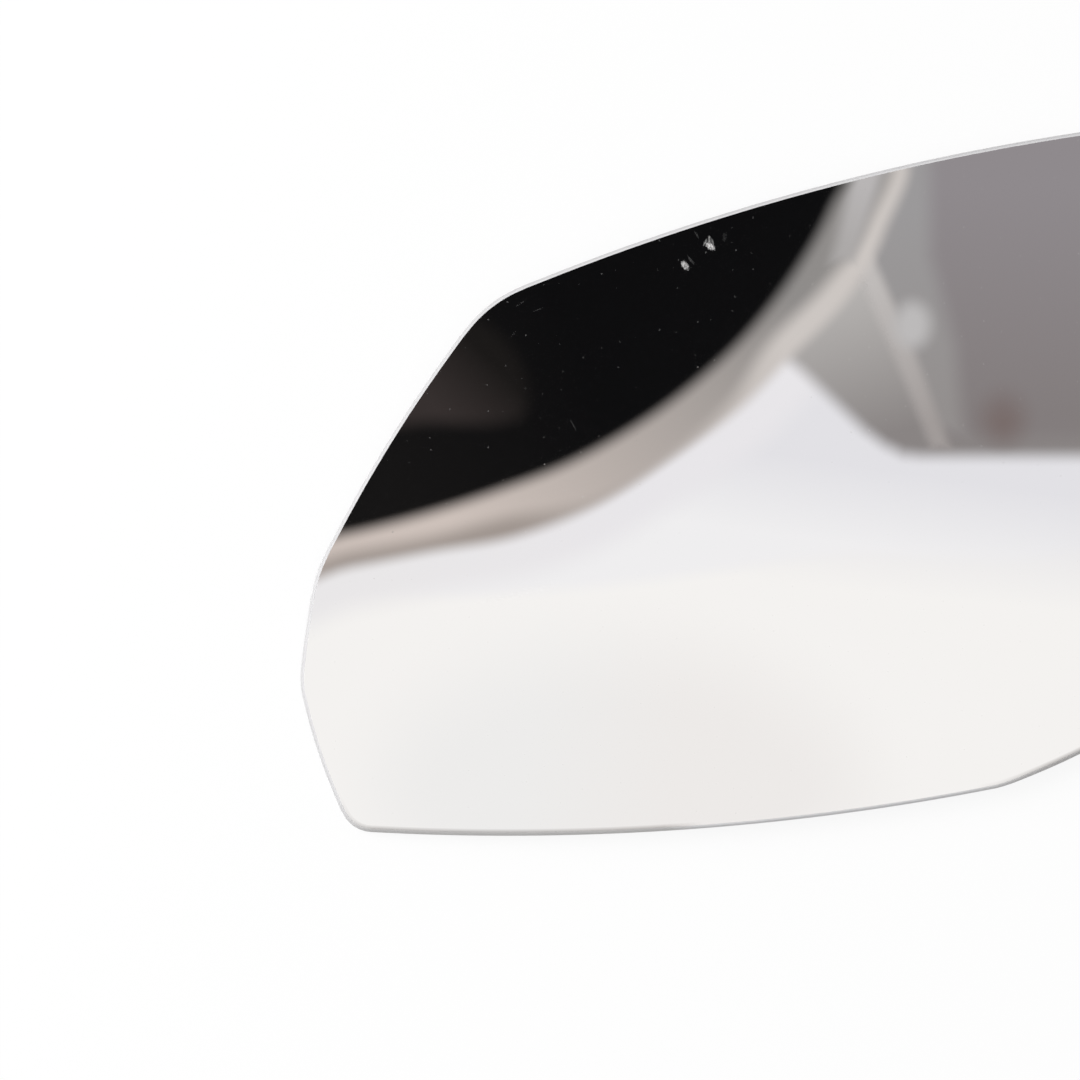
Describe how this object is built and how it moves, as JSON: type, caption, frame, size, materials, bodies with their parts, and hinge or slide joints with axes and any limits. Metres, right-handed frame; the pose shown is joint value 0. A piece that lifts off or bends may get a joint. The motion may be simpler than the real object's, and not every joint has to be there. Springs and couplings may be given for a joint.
{
  "type": "door mirror glass",
  "caption": "Convex glass of a car's door mirror: a thin domed plate, silvered on its back, with a smooth ground edge, rounded corners and a tapered inner end.",
  "frame": {"origin": "on the plane that the glass lies on, under the middle of its outline", "axes": "+X from the inner end, next to the car, to the outer end; +Y up on the car; +Z out of the reflecting face, towards the driver"},
  "size_m": [0.1762, 0.128, 0.0059],
  "materials": {
    "silvered_glass": "clear glass, silvered and lacquered on its back, with a fine-ground rim: rounded in front, bevelled behind"
  },
  "bodies": {
    "root": {"mirror_glass": "silvered_glass"}
  },
  "joints": []
}
